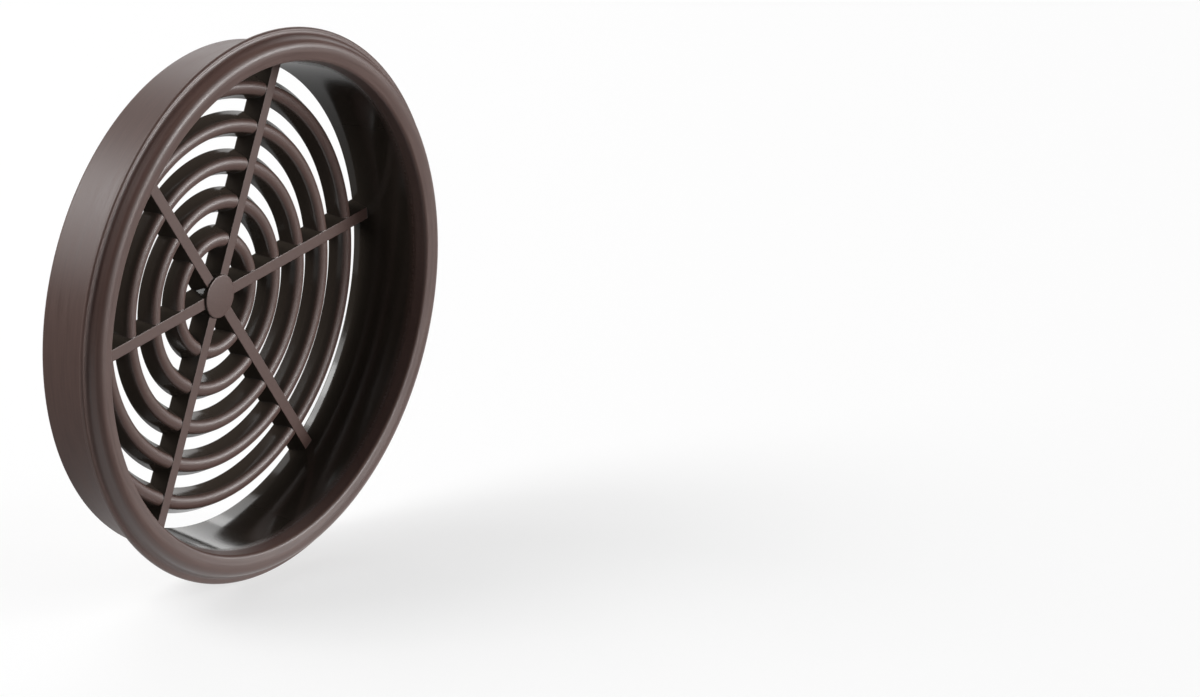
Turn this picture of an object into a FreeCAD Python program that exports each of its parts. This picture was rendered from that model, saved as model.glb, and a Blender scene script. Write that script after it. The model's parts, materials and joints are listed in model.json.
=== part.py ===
import FreeCAD, Part
import os

import Sketcher

# Round push-in vent cover, moulded in one piece: a short collar, a beaded flange round its front
# mouth, and a grille of rings on spokes across its back end.
# The axis lies along Y, the front faces -Y, +Z is up, and the flange seats on its panel at y = 0.

# Driving sizes in millimetres, with spoke_turn in degrees. A half is half of a width.
SIZES = {
    "collar_radius": 30.0,
    "collar_length": 7.85,
    "wall_back": 2.1,
    "wall_front": 1.2,
    "end_round": 0.35,
    "flange_width": 2.8,
    "lip_thickness": 0.45,
    "lip_width": 0.58,
    "bead_height": 2.1,
    "bead_reach": 1.82,
    "face_drop": 0.08,
    "shoulder_width": 0.45,
    "shoulder_drop": 0.5,
    "mouth_slope": 0.25,
    "mouth_depth": 1.5,
    "grille_depth": 2.0,
    "ring_count": 5,
    "ring_first": 6.62,
    "ring_pitch": 4.465,
    "ring_back_half": 1.49,
    "ring_shoulder_half": 0.86,
    "ring_shoulder_drop": 0.6,
    "spoke_count": 6,
    "spoke_turn": 23.6,
    "spoke_back_half": 1.5,
    "spoke_front_half": 0.7,
    "hub_radius": 2.6,
    "hub_rise": 0.28,
    "hub_round": 0.15,
}

NODE = "vent_cover"
FULL_TURN = 360
ARC_BULGE = 0.4
START, END, CENTRE = range(1, 4)
H_AXIS, V_AXIS = -1, -2

doc = FreeCAD.newDocument(NODE)
sheet = doc.addObject("Spreadsheet::Sheet", "sizes")
for row, (alias, value) in enumerate(SIZES.items(), start=1):
    sheet.set(f"A{row}", alias)
    sheet.set(f"B{row}", str(value))
    sheet.setAlias(f"B{row}", alias)
doc.recompute()

body = doc.addObject("PartDesign::Body", "VentCover")
body.Label = NODE
origin = {feature.Role: feature for feature in body.Origin.OriginFeatures}


def terms(formula):
    """A signed sum of sizes, such as 'ring_first + 2*ring_pitch - lip_width', as its terms."""
    sign = 1
    found = []
    for word in formula.split():
        if word in ("+", "-"):
            sign = 1 if word == "+" else -1
        else:
            factor, _, alias = word.rpartition("*")
            found.append((sign * int(factor or 1), alias))
    return found


def amount(formula):
    return float(sum(factor * getattr(sheet, alias) for factor, alias in terms(formula)))


def expression(formula):
    return " + ".join(f"{factor} * sizes.{alias}" for factor, alias in terms(formula))


def point(corner):
    return FreeCAD.Vector(amount(corner[0]), amount(corner[1]), 0)


def new_sketch(name):
    """A sketch in the plane of the axis: x is the distance from the axis, y the depth."""
    sketch = body.newObject("Sketcher::SketchObject", name)
    sketch.AttachmentSupport = [(origin["XY_Plane"], "")]
    sketch.MapMode = "FlatFace"
    return sketch


def hold(sketch, edge, end, corner):
    """Holds an edge's end at a corner: both distances come from the sheet, and none means an axis."""
    for kind, axis, formula in (("DistanceX", V_AXIS, corner[0]), ("DistanceY", H_AXIS, corner[1])):
        if formula:
            rule = Sketcher.Constraint(kind, -1, START, edge, end, amount(formula))
            index = sketch.addConstraint(rule)
            sketch.setExpression(f"Constraints[{index}]", expression(formula))
        else:
            sketch.addConstraint(Sketcher.Constraint("PointOnObject", edge, end, axis))


def rounding(start, end, flat_end):
    """An arc in place of the sharp corner between a wall and a flat front or back face."""
    flat, wall = (start, end) if flat_end == START else (end, start)
    sharp = FreeCAD.Vector(wall.x, flat.y, 0)
    chord_middle = (start + end) * 0.5
    return Part.Arc(start, chord_middle + (sharp - chord_middle) * ARC_BULGE, end)


def crest(start, end, depth):
    """An arc that bulges out to a depth."""
    return Part.Arc(start, FreeCAD.Vector((start.x + end.x) * 0.5, amount(depth), 0), end)


def touch(sketch, edge, inner, outer, depth):
    """Makes an arc touch a depth, with a construction line across it there."""
    line = sketch.addGeometry(Part.LineSegment(point((inner, depth)), point((outer, depth))), True)
    hold(sketch, line, START, (inner, depth))
    hold(sketch, line, END, (outer, depth))
    sketch.addConstraint(Sketcher.Constraint("Tangent", edge, line))


def draw(sketch, corners):
    """Draws a closed outline, counter-clockwise. A corner is a distance from the axis and a depth. A third
    value makes the edge that starts there an arc: a depth that its crest touches, or the end of it, START
    or END, that runs into a flat face."""
    corners = [(*corner, None)[:3] for corner in corners]
    following = corners[1:] + corners[:1]
    first = sketch.GeometryCount
    for corner, corner_after in zip(corners, following):
        start, end, way = point(corner), point(corner_after), corner[2]
        if way is None:
            edge = Part.LineSegment(start, end)
        elif way in (START, END):
            edge = rounding(start, end, way)
        else:
            edge = crest(start, end, way)
        sketch.addGeometry(edge)
    for i, corner in enumerate(corners):
        edge_after = first + (i + 1) % len(corners)
        sketch.addConstraint(Sketcher.Constraint("Coincident", first + i, END, edge_after, START))
        hold(sketch, first + i, START, corner)
    for i, (inner, _, way) in enumerate(corners):
        if way in (START, END):
            sketch.addConstraint(Sketcher.Constraint("Vertical", first + i, CENTRE, first + i, way))
        elif way:
            touch(sketch, first + i, inner, following[i][0], way)


def revolve(sketch, name):
    feature = body.newObject("PartDesign::Revolution", name)
    feature.Profile = sketch
    feature.ReferenceAxis = (sketch, ["V_Axis"])
    feature.Angle = FULL_TURN
    sketch.Visibility = False
    return feature


BACK = "collar_length"
GRILLE_FRONT = f"{BACK} - grille_depth"

# Collar and flange: the tapered inner wall, the sloped mouth, the shoulder, the bead's face and its
# crown, the thin lip, the seat, the collar.
MOUTH = "collar_radius - wall_front"
FACE = f"{MOUTH} + mouth_slope + shoulder_width"
FLANGE = "collar_radius + flange_width"
CROWN = f"{FLANGE} - lip_width - bead_reach"
rim = new_sketch("RimProfile")
draw(
    rim,
    [
        ("collar_radius - wall_back", BACK),
        (MOUTH, "mouth_depth - bead_height"),
        (f"{MOUTH} + mouth_slope", "shoulder_drop - bead_height", END),
        (FACE, "face_drop - bead_height", END),
        (CROWN, "- bead_height", START),
        (f"{FLANGE} - lip_width", "- lip_thickness"),
        (FLANGE, "- lip_thickness"),
        (FLANGE, ""),
        ("collar_radius", ""),
        ("collar_radius", f"{BACK} - end_round", END),
        ("collar_radius - end_round", BACK),
    ],
)
revolve(rim, "Rim")

# Spokes: a tapered bar from the axis into the collar's wall, repeated round the axis.
section = new_sketch("SpokeSection")
section.AttachmentOffset = FreeCAD.Placement(
    FreeCAD.Vector(), FreeCAD.Rotation(FreeCAD.Vector(0, 1, 0), sheet.spoke_turn)
)
section.setExpression("AttachmentOffset.Rotation.Angle", "sizes.spoke_turn")
draw(
    section,
    [
        ("- spoke_back_half", BACK),
        ("- spoke_front_half", GRILLE_FRONT),
        ("spoke_front_half", GRILLE_FRONT),
        ("spoke_back_half", BACK),
    ],
)
spoke = body.newObject("PartDesign::Pad", "Spoke")
spoke.Profile = section
spoke.setExpression("Length", "sizes.collar_radius - sizes.wall_back / 2")
spokes = body.newObject("PartDesign::PolarPattern", "Spokes")
spokes.Originals = [spoke]
spokes.Axis = (origin["Y_Axis"], [""])
spokes.Angle = FULL_TURN
spokes.setExpression("Occurrences", "sizes.spoke_count")
body.Tip = spokes
doc.recompute()

# Hub: a round boss that stands a little in front of the spokes.
HUB_FRONT = f"{GRILLE_FRONT} - hub_rise"
hub = new_sketch("HubProfile")
draw(
    hub,
    [
        ("", BACK),
        ("", HUB_FRONT),
        ("hub_radius - hub_round", HUB_FRONT, START),
        ("hub_radius", f"{HUB_FRONT} + hub_round"),
        ("hub_radius", BACK),
    ],
)
revolve(hub, "Hub")

# Rings: ribs with a rounded crest in front and a wide flat foot at the back.
SHOULDER = f"{GRILLE_FRONT} + ring_shoulder_drop"
rings = new_sketch("RingProfiles")
for number in range(int(sheet.ring_count)):
    middle = f"ring_first + {number}*ring_pitch"
    draw(
        rings,
        [
            (f"{middle} - ring_back_half", BACK),
            (f"{middle} - ring_shoulder_half", SHOULDER, GRILLE_FRONT),
            (f"{middle} + ring_shoulder_half", SHOULDER),
            (f"{middle} + ring_back_half", BACK),
        ],
    )
body.Tip = revolve(rings, "Rings")
doc.recompute()

for item in doc.Objects:
    if "Invalid" in item.State or "Error" in item.State:
        raise RuntimeError(f"{item.Label} failed: {item.State}")
if body.Shape.isNull() or not body.Shape.isValid() or len(body.Shape.Solids) != 1:
    raise RuntimeError(f"{body.Label} isn't one valid solid")

os.makedirs("parts", exist_ok=True)
body.Shape.exportStep(f"parts/{body.Label}.step")
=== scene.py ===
import json
import math

import bmesh
import bpy
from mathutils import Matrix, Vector


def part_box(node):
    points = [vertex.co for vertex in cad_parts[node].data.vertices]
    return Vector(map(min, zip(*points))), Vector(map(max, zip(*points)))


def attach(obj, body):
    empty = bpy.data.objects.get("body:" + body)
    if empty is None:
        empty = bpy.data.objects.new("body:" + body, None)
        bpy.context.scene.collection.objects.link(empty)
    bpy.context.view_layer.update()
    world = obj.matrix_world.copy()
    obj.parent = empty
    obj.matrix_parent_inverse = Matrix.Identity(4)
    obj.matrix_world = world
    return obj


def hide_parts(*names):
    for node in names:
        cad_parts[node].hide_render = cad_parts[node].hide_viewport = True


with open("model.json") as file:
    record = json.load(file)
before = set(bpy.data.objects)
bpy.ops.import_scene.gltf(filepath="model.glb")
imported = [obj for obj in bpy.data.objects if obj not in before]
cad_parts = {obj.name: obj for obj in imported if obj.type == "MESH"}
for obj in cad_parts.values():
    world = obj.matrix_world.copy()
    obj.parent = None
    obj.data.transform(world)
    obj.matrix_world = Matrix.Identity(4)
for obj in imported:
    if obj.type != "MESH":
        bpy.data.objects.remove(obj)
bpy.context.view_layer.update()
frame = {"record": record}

# The round vent cover: one dark brown plastic moulding, shown upright on a pale floor.
# The axis lies along Y, the front faces -Y, and the flange's back face is at y = 0. Lengths are metres.

MM = 0.001
NODE = "vent_cover"

node_low, node_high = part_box(NODE)
collar_mount = next(mount for mount in frame["record"]["mounts"] if mount["name"] == "collar")

# Collar, lip and bead
COLLAR_R = collar_mount["dims"]["r_mm"] * MM
FLANGE_R = node_high.x
FRONT_Y = node_low.y
BACK_Y = node_high.y
WALL_BACK = 2.3 * MM
WALL_FRONT = 1.2 * MM
MOUTH_DEPTH = 1.5 * MM
BEAD_FACE_WIDTH = 2.3 * MM
BEAD_FACE_FALL = 0.16 * MM
BEAD_SLOPE = 0.6 * MM
LIP_THICKNESS = 0.45 * MM
LIP_WIDTH = 0.75 * MM

# Roundings of their edges
BACK_ROUND = 0.15 * MM
MOUTH_ROUND = 0.12 * MM
BEAD_SHOULDER_ROUND = 0.5 * MM
BEAD_FACE_ROUND = 3.0 * MM
BEAD_CROWN_ROUND = 1.1 * MM
BEAD_FOOT_ROUND = 0.6 * MM
LIP_FRONT_ROUND = 0.3 * MM
LIP_BACK_ROUND = 0.04 * MM
SEAT_ROUND = 0.12 * MM
COLLAR_END_ROUND = 0.35 * MM

# Grille. The drops set the faces of rings and spokes in a little from each other's and from the hub's, so
# that no two of them lie in one plane where they are joined.
GRILLE_DEPTH = 2.0 * MM
RING_COUNT = 5
RING_FIRST_R = 6.62 * MM
RING_PITCH = 4.465 * MM
RING_BACK_HALF = 1.57 * MM
RING_FRONT_HALF = 0.63 * MM
RING_CREST_ROUND = 0.91 * MM
RING_FRONT_DROP = 0.05 * MM
RING_BACK_DROP = 0.04 * MM
SPOKE_COUNT = 6
SPOKE_TURN = math.radians(23.6)
SPOKE_BACK_HALF = 1.5 * MM
SPOKE_FRONT_HALF = 0.7 * MM
SPOKE_BACK_DROP = 0.02 * MM
RIB_EDGE_ROUND = 0.07 * MM
HUB_R = 2.6 * MM
HUB_RISE = 0.28 * MM
HUB_ROUND = 0.16 * MM

# Smoothness of the mesh
RIM_STEPS = 256
RING_STEPS = 192
CORNER_STEPS = 7
RING_CREST_STEPS = 6
SPOKE_EDGE_STEPS = 3
CREASE = math.radians(32)
LATHE_MERGE = 0.0001 * MM
JOIN_MERGE = 0.002 * MM


# Profiles

def rounded(corners):
    """A closed outline of (radius, depth, rounding) corners, with each corner turned into an arc."""
    points = []
    count = len(corners)
    for i, (x, y, rounding) in enumerate(corners):
        here = Vector((x, y))
        if not rounding:
            points.append(here)
            continue
        before = (Vector(corners[i - 1][:2]) - here).normalized()
        after = (Vector(corners[(i + 1) % count][:2]) - here).normalized()
        half = before.angle(after) / 2
        centre = here + (before + after).normalized() * rounding / math.sin(half)
        start = here + before * rounding / math.tan(half) - centre
        turn = start.angle_signed(here + after * rounding / math.tan(half) - centre)
        across = Vector((-start.y, start.x))
        for step in range(CORNER_STEPS + 1):
            angle = -turn * step / CORNER_STEPS
            points.append(centre + start * math.cos(angle) + across * math.sin(angle))
    return points


def rim_profile():
    """Outline of the inner wall, the mouth, the bead, the lip, the seat and the collar, in that order."""
    foot = FLANGE_R - LIP_WIDTH
    crown = foot - BEAD_SLOPE
    return rounded(
        [
            (COLLAR_R - WALL_BACK, BACK_Y, BACK_ROUND),
            (COLLAR_R - WALL_FRONT, FRONT_Y + MOUTH_DEPTH, MOUTH_ROUND),
            (crown - BEAD_FACE_WIDTH, FRONT_Y + BEAD_FACE_FALL, BEAD_SHOULDER_ROUND),
            (crown - BEAD_FACE_WIDTH / 2, FRONT_Y, BEAD_FACE_ROUND),
            (crown, FRONT_Y, BEAD_CROWN_ROUND),
            (foot, -LIP_THICKNESS, BEAD_FOOT_ROUND),
            (FLANGE_R, -LIP_THICKNESS, LIP_FRONT_ROUND),
            (FLANGE_R, 0, LIP_BACK_ROUND),
            (COLLAR_R, 0, SEAT_ROUND),
            (COLLAR_R, BACK_Y, COLLAR_END_ROUND),
        ]
    )


def hub_profile():
    """Half outline of the hub's boss, with its edge rounded in front."""
    front = BACK_Y - GRILLE_DEPTH - HUB_RISE
    return rounded([(0, BACK_Y, 0), (0, front, 0), (HUB_R, front, HUB_ROUND), (HUB_R, BACK_Y, 0)])


def lathe(mesh, outline):
    """Turns a closed outline round the Y axis into a closed shell."""
    rows = []
    for step in range(RIM_STEPS):
        angle = 2 * math.pi * step / RIM_STEPS
        rows.append(
            [mesh.verts.new((p.x * math.sin(angle), p.y, p.x * math.cos(angle))) for p in outline]
        )
    count = len(outline)
    for step in range(RIM_STEPS):
        this, following = rows[step], rows[(step + 1) % RIM_STEPS]
        for i in range(count):
            k = (i + 1) % count
            mesh.faces.new((this[i], this[k], following[k], following[i]))


def rim_and_hub():
    mesh = bmesh.new()
    lathe(mesh, rim_profile())
    lathe(mesh, hub_profile())
    bmesh.ops.remove_doubles(mesh, verts=mesh.verts, dist=LATHE_MERGE)
    bmesh.ops.recalc_face_normals(mesh, faces=mesh.faces)
    data = bpy.data.meshes.new("rim_and_hub")
    mesh.to_mesh(data)
    mesh.free()
    return data


# Node helpers

def plug(tree, socket, value):
    if isinstance(value, bpy.types.NodeSocket):
        tree.links.new(value, socket)
    else:
        socket.default_value = value


def add(tree, kind, settings=None, **inputs):
    """Adds a node. Settings are its options, and inputs are values or sockets, by input name."""
    node = tree.nodes.new(kind)
    for name, value in (settings or {}).items():
        setattr(node, name, value)
    for name, value in inputs.items():
        plug(tree, node.inputs[name.replace("_", " ")], value)
    return node


def calc(tree, operation, *values):
    """The result of a maths node."""
    node = add(tree, "ShaderNodeMath", {"operation": operation})
    for socket, value in zip(node.inputs, values):
        plug(tree, socket, value)
    return node.outputs["Value"]


def mix(tree, kind, factor, first, last):
    """A blend of two numbers, FLOAT, or of two colours, RGBA."""
    return add(tree, "ShaderNodeMix", {"data_type": kind}, Factor=factor, A=first, B=last).outputs["Result"]


def ramp(tree, value, span, first=0.0, last=1.0):
    """A value that goes from first to last while another one crosses a span."""
    return add(
        tree, "ShaderNodeMapRange",
        Value=value, From_Min=span[0], From_Max=span[1], To_Min=first, To_Max=last,
    ).outputs["Result"]


def length(tree, vector):
    return add(tree, "ShaderNodeVectorMath", {"operation": "LENGTH"}, Vector=vector).outputs["Value"]


# Grille

GRILLE_SIZES = {
    "Ring count": ("NodeSocketInt", RING_COUNT),
    "Ring back": ("NodeSocketFloat", BACK_Y - RING_BACK_DROP),
    "Ring depth": ("NodeSocketFloat", GRILLE_DEPTH - RING_FRONT_DROP - RING_BACK_DROP),
    "First ring radius": ("NodeSocketFloat", RING_FIRST_R),
    "Ring pitch": ("NodeSocketFloat", RING_PITCH),
    "Ring front width": ("NodeSocketFloat", 2 * RING_FRONT_HALF),
    "Ring back width": ("NodeSocketFloat", 2 * RING_BACK_HALF),
    "Ring crest rounding": ("NodeSocketFloat", RING_CREST_ROUND),
    "Spoke count": ("NodeSocketInt", SPOKE_COUNT),
    "Spoke back": ("NodeSocketFloat", BACK_Y - SPOKE_BACK_DROP),
    "Spoke depth": ("NodeSocketFloat", GRILLE_DEPTH - SPOKE_BACK_DROP),
    "Spoke turn": ("NodeSocketFloat", SPOKE_TURN),
    "Spoke length": ("NodeSocketFloat", COLLAR_R - WALL_BACK / 2),
    "Spoke front width": ("NodeSocketFloat", 2 * SPOKE_FRONT_HALF),
    "Spoke back width": ("NodeSocketFloat", 2 * SPOKE_BACK_HALF),
    "Edge rounding": ("NodeSocketFloat", RIB_EDGE_ROUND),
}


def rib_section(tree, size, rib, front_rounding, steps):
    """Section of a rib, Ring or Spoke: a trapezium, narrow in front, with its corners rounded."""
    depth = size[f"{rib} depth"]
    bar = add(
        tree, "GeometryNodeCurvePrimitiveQuadrilateral", {"mode": "TRAPEZOID"}, Height=depth, Offset=0.0,
        Bottom_Width=size[f"{rib} front width"], Top_Width=size[f"{rib} back width"],
    )
    middle = calc(tree, "SUBTRACT", size[f"{rib} back"], calc(tree, "MULTIPLY", depth, 0.5))
    shift = add(tree, "ShaderNodeCombineXYZ", Y=middle)
    placed = add(
        tree, "GeometryNodeTransform",
        Geometry=bar.outputs["Curve"], Translation=shift.outputs["Vector"],
    )
    position = add(tree, "GeometryNodeInputPosition")
    place = add(tree, "ShaderNodeSeparateXYZ", Vector=position.outputs["Position"])
    in_front = calc(tree, "LESS_THAN", place.outputs["Y"], middle)
    rounding = mix(tree, "FLOAT", in_front, size["Edge rounding"], front_rounding)
    return add(
        tree, "GeometryNodeFilletCurve", {"mode": "POLY"},
        Curve=placed.outputs["Geometry"], Count=steps, Radius=rounding,
    ).outputs["Curve"]


def ring_ribs(tree, size):
    """Concentric rings: circles of growing radius, each swept with the rib section."""
    circle = add(
        tree, "GeometryNodeCurvePrimitiveCircle", {"mode": "RADIUS"}, Resolution=RING_STEPS, Radius=1.0
    )
    upright = add(
        tree, "GeometryNodeTransform",
        Geometry=circle.outputs["Curve"], Rotation=(math.pi / 2, 0, 0),
    )
    number = add(tree, "GeometryNodeInputIndex").outputs["Index"]
    radius = calc(tree, "MULTIPLY_ADD", number, size["Ring pitch"], size["First ring radius"])
    points = add(tree, "GeometryNodePoints", Count=size["Ring count"])
    circles = add(
        tree, "GeometryNodeInstanceOnPoints",
        Points=points.outputs["Points"], Instance=upright.outputs["Geometry"], Scale=radius,
    )
    real = add(tree, "GeometryNodeRealizeInstances", Geometry=circles.outputs["Instances"])
    section = rib_section(tree, size, "Ring", size["Ring crest rounding"], RING_CREST_STEPS)
    return add(
        tree, "GeometryNodeCurveToMesh",
        Curve=real.outputs["Geometry"], Profile_Curve=section,
    ).outputs["Mesh"]


def spoke_bar(tree, size):
    """One spoke: a tapered bar from the axis straight up into the collar's wall."""
    far_end = add(tree, "ShaderNodeCombineXYZ", Z=size["Spoke length"])
    line = add(tree, "GeometryNodeCurvePrimitiveLine", End=far_end.outputs["Vector"])
    section = rib_section(tree, size, "Spoke", size["Edge rounding"], SPOKE_EDGE_STEPS)
    return add(
        tree, "GeometryNodeCurveToMesh",
        Curve=line.outputs["Curve"], Profile_Curve=section, Fill_Caps=True,
    ).outputs["Mesh"]


def joined(tree, first, second):
    """The union of two closed meshes."""
    union = add(tree, "GeometryNodeMeshBoolean", {"operation": "UNION", "solver": "MANIFOLD"})
    tree.links.new(first, union.inputs["Mesh 2"])
    tree.links.new(second, union.inputs["Mesh 2"])
    return union.outputs["Mesh"]


def with_spokes(tree, size):
    """The rim and hub that come in, joined with one spoke after another, each turned by one more step."""
    start = tree.nodes.new("GeometryNodeRepeatInput")
    stop = tree.nodes.new("GeometryNodeRepeatOutput")
    start.pair_with_output(stop)
    tree.links.new(size["Spoke count"], start.inputs["Iterations"])
    tree.links.new(size["Geometry"], start.inputs["Geometry"])
    step = calc(tree, "DIVIDE", 2 * math.pi, size["Spoke count"])
    angle = calc(tree, "MULTIPLY_ADD", start.outputs["Iteration"], step, size["Spoke turn"])
    turn = add(tree, "FunctionNodeAxisAngleToRotation", Axis=(0, 1, 0), Angle=angle)
    spoke = add(
        tree, "GeometryNodeTransform",
        Geometry=spoke_bar(tree, size), Rotation=turn.outputs["Rotation"],
    )
    grown = joined(tree, start.outputs["Geometry"], spoke.outputs["Geometry"])
    tree.links.new(grown, stop.inputs["Geometry"])
    return stop.outputs["Geometry"]


def grille_tree():
    """Adds spokes and rings to the rim and hub that come in, and joins it all into one shell."""
    tree = bpy.data.node_groups.new("grille", "GeometryNodeTree")
    sockets = tree.interface
    sockets.new_socket("Geometry", in_out="INPUT", socket_type="NodeSocketGeometry")
    for name, (kind, _) in GRILLE_SIZES.items():
        sockets.new_socket(name, in_out="INPUT", socket_type=kind)
    sockets.new_socket("Finish", in_out="INPUT", socket_type="NodeSocketMaterial")
    sockets.new_socket("Geometry", in_out="OUTPUT", socket_type="NodeSocketGeometry")
    size = tree.nodes.new("NodeGroupInput").outputs

    whole = joined(tree, with_spokes(tree, size), ring_ribs(tree, size))
    clean = add(tree, "GeometryNodeMergeByDistance", Geometry=whole, Distance=JOIN_MERGE)
    smooth = add(tree, "GeometryNodeSetShadeSmooth", {"domain": "FACE"}, Geometry=clean.outputs["Geometry"])
    corner = add(tree, "GeometryNodeInputMeshEdgeAngle").outputs["Unsigned Angle"]
    creased = add(
        tree, "GeometryNodeSetShadeSmooth", {"domain": "EDGE"},
        Geometry=smooth.outputs["Geometry"], Shade_Smooth=calc(tree, "LESS_THAN", corner, CREASE),
    )
    real = add(tree, "GeometryNodeRealizeInstances", Geometry=creased.outputs["Geometry"])
    finished = add(
        tree, "GeometryNodeSetMaterial", Geometry=real.outputs["Geometry"], Material=size["Finish"]
    )
    out = tree.nodes.new("NodeGroupOutput")
    tree.links.new(finished.outputs["Geometry"], out.inputs["Geometry"])
    return tree


def moulding(finish):
    """The whole cover as one plain mesh."""
    piece = bpy.data.objects.new("moulded_cover", rim_and_hub())
    bpy.context.scene.collection.objects.link(piece)
    modifier = piece.modifiers.new("grille", "NODES")
    modifier.node_group = grille_tree()
    for item in modifier.node_group.interface.items_tree:
        if item.in_out == "INPUT" and item.name in GRILLE_SIZES:
            modifier[item.identifier] = GRILLE_SIZES[item.name][1]
        elif item.in_out == "INPUT" and item.name == "Finish":
            modifier[item.identifier] = finish
    flat_faces = piece.modifiers.new("flat_faces", "WEIGHTED_NORMAL")
    flat_faces.keep_sharp = True
    evaluated = piece.evaluated_get(bpy.context.evaluated_depsgraph_get())
    mesh = bpy.data.meshes.new_from_object(evaluated)
    piece.modifiers.clear()
    piece.data = mesh
    mesh.name = piece.name
    return piece


# Finishes

# Colours of the plastic, the last one a painted shade for the walls inside, and the range of its roughness
# where it is satin and where it is polished
DARK_BROWN = (0.067, 0.038, 0.032, 1)
LIGHT_BROWN = (0.102, 0.058, 0.048, 1)
# Painted shade: a darker brown for the walls inside, standing in for the shade deep in the recess
SHADED_WALL_BROWN = (0.031, 0.025, 0.020, 1)
SATIN = (0.34, 0.46)
POLISHED = (0.08, 0.12)
PLASTIC_SHINE = 0.45

# Where the plastic turns from satin to polished and to the painted shade of the walls, going inwards and
# going back from the mouth, and where it turns to satin and its own brown again, as a face comes square to
# the axis
POLISH_INWARDS = (COLLAR_R - 0.8 * MM, COLLAR_R - 1.2 * MM)
POLISH_BACKWARDS = (-0.8 * MM, 0.4 * MM)
FLAT_FACING = (0.42, 0.85)

# Drag marks left by the mould: how many there are to a radian along the collar's marks, to a metre across
# them, and to a metre along X, Y and Z on the walls inside
MARKS_ALONG = 4.0
MARKS_ACROSS = 3500.0
WALL_MARKS = (5000.0, 150.0, 5000.0)
MARK_SPAN = (0.3, 0.7)
MARK_DEPTH = 0.02 * MM
MARK_STRENGTH = 0.15

# The streaks' share of the colour, the rest of which is clouds, and how much fine grain the marks get
STREAK_SHARE = 0.6
CLOUD_SCALE = 120.0
GRAIN_SHARE = 0.4
GRAIN_SCALE = 6000.0
SOFT_EDGE = 0.12 * MM


def new_material(name):
    material = bpy.data.materials.new(name)
    material.use_nodes = True
    tree = material.node_tree
    return material, tree, tree.nodes["Principled BSDF"]


def noise(tree, vector, scale, detail):
    return add(
        tree, "ShaderNodeTexNoise", Vector=vector, Scale=scale, Detail=detail, Roughness=0.6
    ).outputs["Fac"]


def brown_plastic():
    """Dark brown plastic: satin, with drag marks round the collar, and polished walls inside that are
    darkened with painted shade.
    """
    material, tree, shader = new_material("brown_plastic")
    coordinates = add(tree, "ShaderNodeTexCoord").outputs
    place = coordinates["Object"]
    spot = add(tree, "ShaderNodeSeparateXYZ", Vector=place).outputs
    facing = add(tree, "ShaderNodeSeparateXYZ", Vector=coordinates["Normal"]).outputs
    radius = length(tree, add(tree, "ShaderNodeCombineXYZ", X=spot["X"], Z=spot["Z"]).outputs["Vector"])
    angle = calc(tree, "ARCTAN2", spot["X"], spot["Z"])

    inside = ramp(tree, radius, POLISH_INWARDS)
    behind_mouth = ramp(tree, spot["Y"], POLISH_BACKWARDS)
    flat_face = ramp(tree, calc(tree, "ABSOLUTE", facing["Y"]), FLAT_FACING)
    # This mask sets both the polish and the painted shade of the walls inside
    polished_and_shaded = calc(tree, "MULTIPLY", inside, calc(tree, "SUBTRACT", behind_mouth, flat_face))

    # Drag marks run round the collar, and along the depth on the walls inside
    round_marks = add(
        tree, "ShaderNodeCombineXYZ",
        X=calc(tree, "MULTIPLY", angle, MARKS_ALONG), Y=calc(tree, "MULTIPLY", spot["Y"], MARKS_ACROSS),
        Z=calc(tree, "MULTIPLY", radius, MARKS_ACROSS),
    ).outputs["Vector"]
    depth_marks = add(tree, "ShaderNodeMapping", Vector=place, Scale=WALL_MARKS).outputs["Vector"]
    drag_round = noise(tree, round_marks, 1.0, 4.0)
    drag_depth = noise(tree, depth_marks, 1.0, 3.0)
    drag = mix(tree, "FLOAT", inside, drag_round, drag_depth)

    cloud = calc(tree, "MULTIPLY", noise(tree, place, CLOUD_SCALE, 3.0), 1 - STREAK_SHARE)
    shade = calc(tree, "MULTIPLY_ADD", ramp(tree, drag, MARK_SPAN), STREAK_SHARE, cloud)
    tone = mix(tree, "RGBA", shade, DARK_BROWN, LIGHT_BROWN)
    # The walls inside take the darker brown: painted shade for the little light that reaches in
    plug(tree, shader.inputs["Base Color"], mix(tree, "RGBA", polished_and_shaded, tone, SHADED_WALL_BROWN))

    satin = ramp(tree, drag, MARK_SPAN, *SATIN)
    gloss = ramp(tree, drag, MARK_SPAN, *POLISHED)
    plug(tree, shader.inputs["Roughness"], mix(tree, "FLOAT", polished_and_shaded, satin, gloss))

    grain = noise(tree, place, GRAIN_SCALE, 2.0)
    marks = calc(tree, "MULTIPLY_ADD", grain, GRAIN_SHARE, drag)
    soft_edges = add(tree, "ShaderNodeBevel", {"samples": 6}, Radius=SOFT_EDGE).outputs["Normal"]
    bump = add(
        tree, "ShaderNodeBump",
        Strength=MARK_STRENGTH, Distance=MARK_DEPTH, Height=marks, Normal=soft_edges,
    )
    plug(tree, shader.inputs["Normal"], bump.outputs["Normal"])
    shader.inputs["Specular IOR Level"].default_value = PLASTIC_SHINE
    return material


# How bright reflections show the white floor right under the cover, a painted reflection that glows
# brighter there than the floor looks, and all that is farther away, darkened in reflections as painted
# shade, and the distances from the cover's plane between which the one turns into the other
REFLECTED_NEAR = 1.6
REFLECTED_FAR = 0.05
NEAR_FLOOR = (6 * MM, 20 * MM)

# The floor's own white where the lamps light it too, and the distances between which their light fades
FLOOR_GREY = (0.3, 0.3, 0.3, 1)
FLOOR_WHITE = 0.66
LIT_FLOOR = (0.3, 1.2)


def seen_white(tree, reflection):
    """1 for what the camera or a clear material sees, its own level in reflections, and 0 for the light
    that lands."""
    path = add(tree, "ShaderNodeLightPath").outputs
    reflected = calc(tree, "MULTIPLY", path["Is Glossy Ray"], reflection)
    seen = calc(tree, "MAXIMUM", path["Is Camera Ray"], reflected)
    return calc(tree, "MAXIMUM", seen, path["Is Transmission Ray"])


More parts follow.
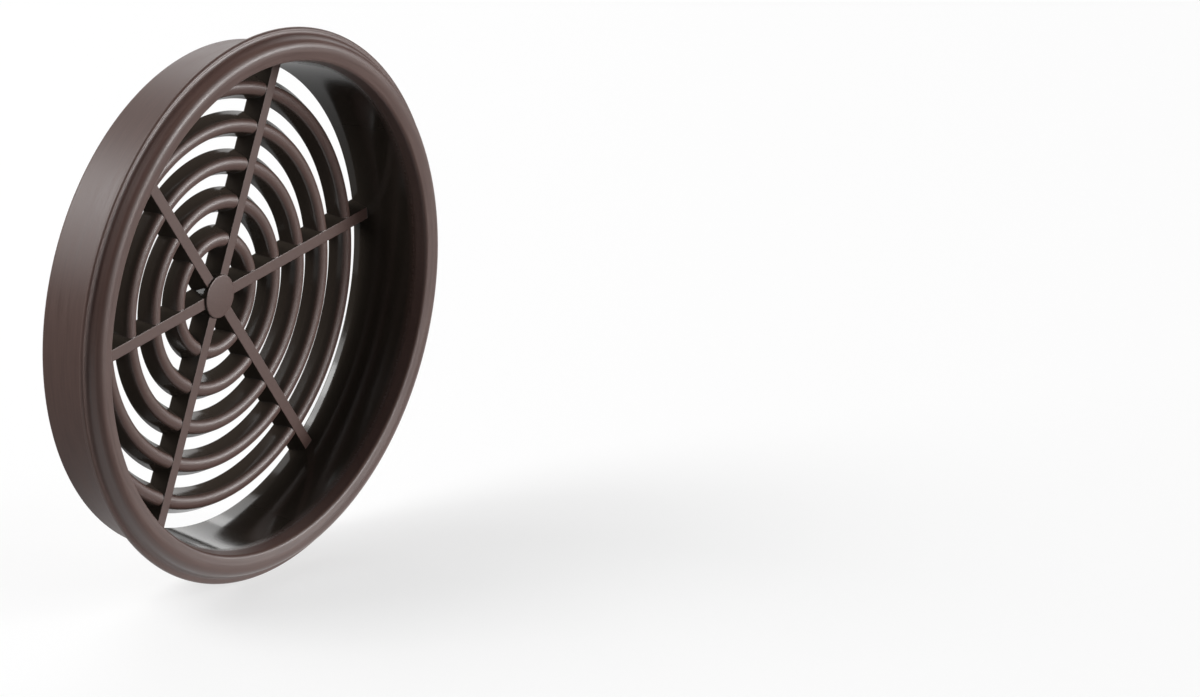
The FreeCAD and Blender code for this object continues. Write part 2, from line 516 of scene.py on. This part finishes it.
def pale_floor():
    """White floor that keeps a soft shadow and throws little light back, and that glows in reflections near
    the cover as a painted reflection.
    """
    material, tree, shader = new_material("pale_floor")
    shader.inputs["Base Color"].default_value = FLOOR_GREY
    shader.inputs["Roughness"].default_value = 0.9
    shader.inputs["Specular IOR Level"].default_value = 0.0
    shader.inputs["Emission Color"].default_value = (FLOOR_WHITE, FLOOR_WHITE, FLOOR_WHITE, 1)
    place = add(tree, "ShaderNodeTexCoord").outputs["Object"]
    depth = add(tree, "ShaderNodeSeparateXYZ", Vector=place).outputs["Y"]
    # Painted reflection: close to the cover the floor glows brighter in reflections than to the eye, and
    # farther off it shows darker there, as painted shade
    reflection = ramp(tree, calc(tree, "ABSOLUTE", depth), NEAR_FLOOR, REFLECTED_NEAR, REFLECTED_FAR)
    unlit = ramp(tree, length(tree, place), LIT_FLOOR, 1.0, 1.0 / FLOOR_WHITE)
    seen = calc(tree, "MULTIPLY", seen_white(tree, reflection), unlit)
    plug(tree, shader.inputs["Emission Strength"], seen)
    return material


# Stage

FLOOR_HALF = 3.0


def floor():
    low = node_low.z
    data = bpy.data.meshes.new("floor")
    corners = [(-1, -1), (1, -1), (1, 1), (-1, 1)]
    data.from_pydata([(x * FLOOR_HALF, y * FLOOR_HALF, low) for x, y in corners], [], [(0, 1, 2, 3)])
    data.materials.append(pale_floor())
    plane = bpy.data.objects.new("floor", data)
    bpy.context.scene.collection.objects.link(plane)


# Lamps round the cover: the direction that each one shines from, its width and height, and its brightness
SOFTBOX_DISTANCE = 0.9
SOFTBOXES = {
    "front_low": ((0.58, -0.81, 0.06), (0.45, 0.16), 26.5),
    "front": ((0.05, -0.98, 0.14), (0.5, 0.3), 3.4),
    "front_right": ((0.50, -0.75, 0.42), (0.3, 0.3), 6.0),
    "right": ((0.85, -0.50, 0.12), (0.4, 0.3), 3.3),
    "left_up": ((-0.53, 0.38, 0.76), (0.4, 0.4), 7.0),
    "back_left": ((-0.52, 0.66, 0.53), (0.8, 0.6), 4.0),
    "back_up": ((-0.10, 0.45, 0.88), (0.5, 0.4), 1.3),
    "back_right": ((0.50, 0.60, 0.62), (0.5, 0.4), 2.2),
    "back_low": ((0.74, 0.60, 0.31), (0.9, 0.5), 1.5),
}


def softbox(name, direction, size, radiance):
    """A lamp that faces the cover from a direction."""
    lamp = bpy.data.lights.new(name, "AREA")
    lamp.shape = "RECTANGLE"
    lamp.size, lamp.size_y = size
    lamp.energy = radiance * math.pi * size[0] * size[1]
    holder = bpy.data.objects.new(name, lamp)
    bpy.context.scene.collection.objects.link(holder)
    towards = Vector(direction).normalized()
    holder.location = towards * SOFTBOX_DISTANCE
    holder.rotation_mode = "QUATERNION"
    holder.rotation_quaternion = towards.to_track_quat("Z", "Y")


def surroundings():
    """White to the eye, and dark for the light that lands."""
    world = bpy.data.worlds.new("surroundings")
    world.use_nodes = True
    bpy.context.scene.world = world
    tree = world.node_tree
    background = tree.nodes["Background"]
    background.inputs["Color"].default_value = (1, 1, 1, 1)
    plug(tree, background.inputs["Strength"], seen_white(tree, REFLECTED_FAR))


# Camera: the photograph's line of sight, with the cover left of the middle of a 1200 by 697 image
IMAGE_WIDTH, IMAGE_HEIGHT = 1200, 697
COVER_PIXEL = (258.5, 303.5)
AZIMUTH = math.radians(-51.3)
ELEVATION = math.radians(18.0)
PIXELS_PER_METRE = 8648
DISTANCE = 1.96
SENSOR_WIDTH = 36
NEAREST, FARTHEST = 0.01, 20


def camera():
    data = bpy.data.cameras.new("camera")
    data.sensor_width = SENSOR_WIDTH
    data.lens = SENSOR_WIDTH * DISTANCE * PIXELS_PER_METRE / IMAGE_WIDTH
    data.clip_start, data.clip_end = NEAREST, FARTHEST
    holder = bpy.data.objects.new("camera", data)
    bpy.context.scene.collection.objects.link(holder)
    back = Vector(
        (
            math.sin(AZIMUTH) * math.cos(ELEVATION),
            -math.cos(AZIMUTH) * math.cos(ELEVATION),
            math.sin(ELEVATION),
        )
    )
    right = Vector((math.cos(AZIMUTH), math.sin(AZIMUTH), 0))
    up = back.cross(right)
    aim = right * (IMAGE_WIDTH / 2 - COVER_PIXEL[0]) - up * (IMAGE_HEIGHT / 2 - COVER_PIXEL[1])
    aim /= PIXELS_PER_METRE
    holder.location = back * DISTANCE
    holder.rotation_mode = "QUATERNION"
    holder.rotation_quaternion = (aim - holder.location).to_track_quat("-Z", "Y")
    bpy.context.scene.camera = holder


bpy.context.scene.view_settings.view_transform = "Standard"

cover = moulding(brown_plastic())
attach(cover, "root")
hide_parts(NODE)

floor()
surroundings()
for name, (direction, size, radiance) in SOFTBOXES.items():
    softbox(name, direction, size, radiance)
camera()
